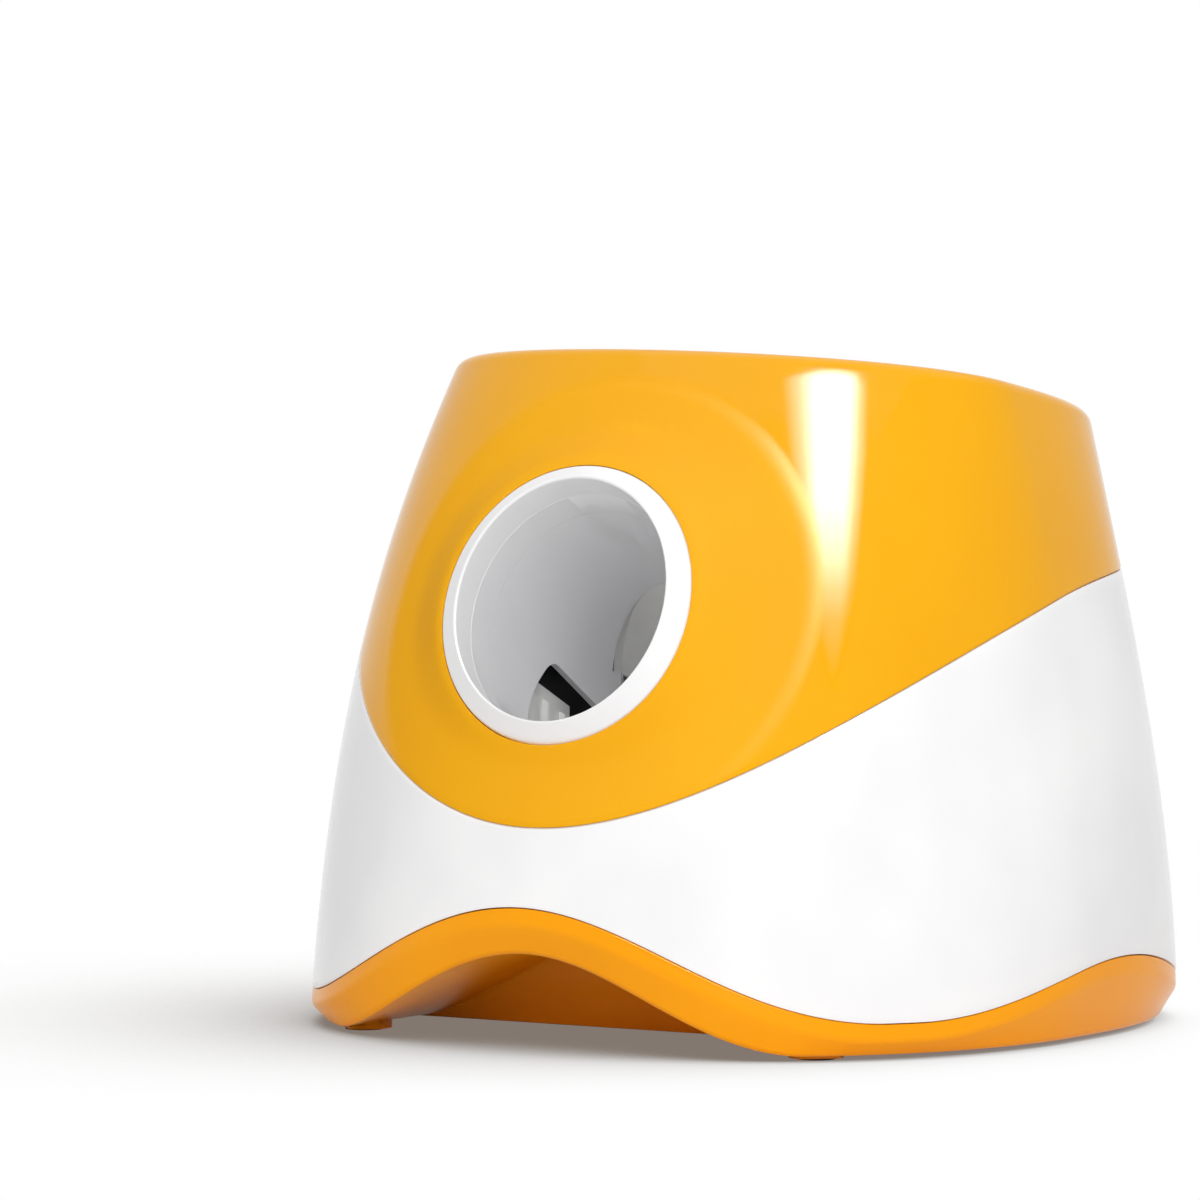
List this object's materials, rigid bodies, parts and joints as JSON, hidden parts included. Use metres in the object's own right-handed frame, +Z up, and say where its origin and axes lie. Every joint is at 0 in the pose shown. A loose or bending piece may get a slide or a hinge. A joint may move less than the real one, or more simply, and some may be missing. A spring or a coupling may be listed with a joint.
{
  "type": "automatic dog ball launcher",
  "caption": "Egg-shaped spring-striker ball launcher for dogs: hopper on top, tilted muzzle in front, geared motor that winds the striker, battery bay under the base.",
  "frame": {"origin": "on the floor, under the middle of the body", "axes": "+Z up, the muzzle points towards -Y, +X is the battery side"},
  "size_m": [0.261, 0.2494, 0.2103],
  "materials": {
    "orange_gloss": "gloss moulded ABS",
    "white_gloss": "gloss moulded ABS",
    "orange_base": "gloss moulded ABS",
    "pad_rubber": "matt rubber",
    "ring_white": "gloss moulded ABS",
    "tube_grey": "semi-gloss moulded ABS",
    "stop_rubber": "matt rubber",
    "hopper_white": "satin moulded ABS",
    "striker_nylon": "glass-filled nylon",
    "striker_foam": "closed-cell foam",
    "shaft_steel": "ground steel",
    "bush_acetal": "acetal",
    "gear_acetal": "acetal",
    "spring_steel": "drawn spring wire",
    "pinion_brass": "hobbed brass",
    "motor_can": "zinc-plated steel",
    "motor_cap": "moulded nylon",
    "chassis_white": "satin moulded ABS",
    "box_black": "satin moulded ABS",
    "cell_jacket": "printed film, plain",
    "contact_nickel": "nickel-plated steel",
    "screw_steel": "zinc-plated steel",
    "panel_grey": "satin moulded ABS",
    "button_white": "gloss moulded ABS",
    "light_pipe": "clear polycarbonate",
    "board_green": "solder-masked laminate",
    "chip_black": "moulded epoxy",
    "inlet_black": "satin nylon",
    "sensor_black": "satin ABS"
  },
  "bodies": {
    "housing": {"upper_shell": "orange_gloss", "lower_shell": "white_gloss", "base_pan": "orange_base", "foot_pads": "pad_rubber", "launch_ring": "ring_white", "launch_tube": "tube_grey", "stop_ring": "stop_rubber", "hopper": "hopper_white", "shaft_bushes": "bush_acetal", "power_springs": "spring_steel", "motor": "motor_can", "motor_end_cap": "motor_cap", "gear_axles": "shaft_steel", "chassis_left": "chassis_white", "chassis_right": "chassis_white", "gearbox_cover": "chassis_white", "battery_box": "box_black", "battery_cells": "cell_jacket", "battery_contacts": "contact_nickel", "control_panel": "panel_grey", "indicator_lights": "light_pipe", "control_board": "board_green", "board_parts": "chip_black", "dc_inlet": "inlet_black", "ball_sensors": "sensor_black", "body_screws": "screw_steel", "tube_screws": "screw_steel", "gearbox_screws": "screw_steel", "chassis_screws": "screw_steel", "board_screws": "screw_steel"},
    "striker": {"striker": "striker_nylon", "striker_pad": "striker_foam", "striker_shaft": "shaft_steel", "sector_gear": "gear_acetal"},
    "drive_train": {"drive_gear": "gear_acetal"},
    "second_train": {"second_gear": "gear_acetal"},
    "first_train": {"first_gear": "gear_acetal"},
    "rotor": {"motor_pinion": "pinion_brass", "motor_shaft": "shaft_steel"},
    "power_key": {"power_button": "button_white"},
    "distance_key": {"distance_button": "button_white"},
    "battery_hatch": {"battery_door": "orange_base", "door_screw": "screw_steel"}
  },
  "joints": [
    {"name": "striker_swing", "type": "hinge", "parent": "housing", "child": "striker", "pos_m": [0, 0.0721, 0.11693], "axis": [1, 0, 0], "range_deg": [0, 45], "stiffness_Nm_per_rad": 0.45, "springref_deg": -20.05, "deforming": ["power_springs"]},
    {"name": "drive_turn", "type": "hinge", "parent": "housing", "child": "drive_train", "pos_m": [0, 0.01684, 0.09681], "axis": [1, 0, 0], "range_deg": [-60, 0]},
    {"name": "second_turn", "type": "hinge", "parent": "housing", "child": "second_train", "pos_m": [0, -0.00066, 0.0665], "axis": [1, 0, 0], "range_deg": [0, 180]},
    {"name": "first_turn", "type": "hinge", "parent": "housing", "child": "first_train", "pos_m": [0, -0.02413, 0.06021], "axis": [1, 0, 0], "range_deg": [-514.29, 0]},
    {"name": "motor_turn", "type": "hinge", "parent": "housing", "child": "rotor", "pos_m": [0, -0.01433, 0.04324], "axis": [1, 0, 0], "range_deg": [0, 1542.86]},
    {"name": "power_press", "type": "slide", "parent": "housing", "child": "power_key", "axis": [0, -0.1857, -0.9826], "range_m": [0, 0.0005], "stiffness_N_per_m": 400, "springref_m": -0.001},
    {"name": "distance_press", "type": "slide", "parent": "housing", "child": "distance_key", "axis": [0, -0.1857, -0.9826], "range_m": [0, 0.0005], "stiffness_N_per_m": 400, "springref_m": -0.001},
    {"name": "battery_hatch_open", "type": "hinge", "parent": "housing", "child": "battery_hatch", "pos_m": [0.0838, 0.0438, 0.0036], "axis": [1, 0, 0], "range_deg": [0, 90]}
  ],
  "couplings": [
    {"joint": "drive_turn", "follows": "striker_swing", "ratio": -1.3333},
    {"joint": "second_turn", "follows": "striker_swing", "ratio": 4},
    {"joint": "first_turn", "follows": "striker_swing", "ratio": -11.429},
    {"joint": "motor_turn", "follows": "striker_swing", "ratio": 34.286}
  ]
}
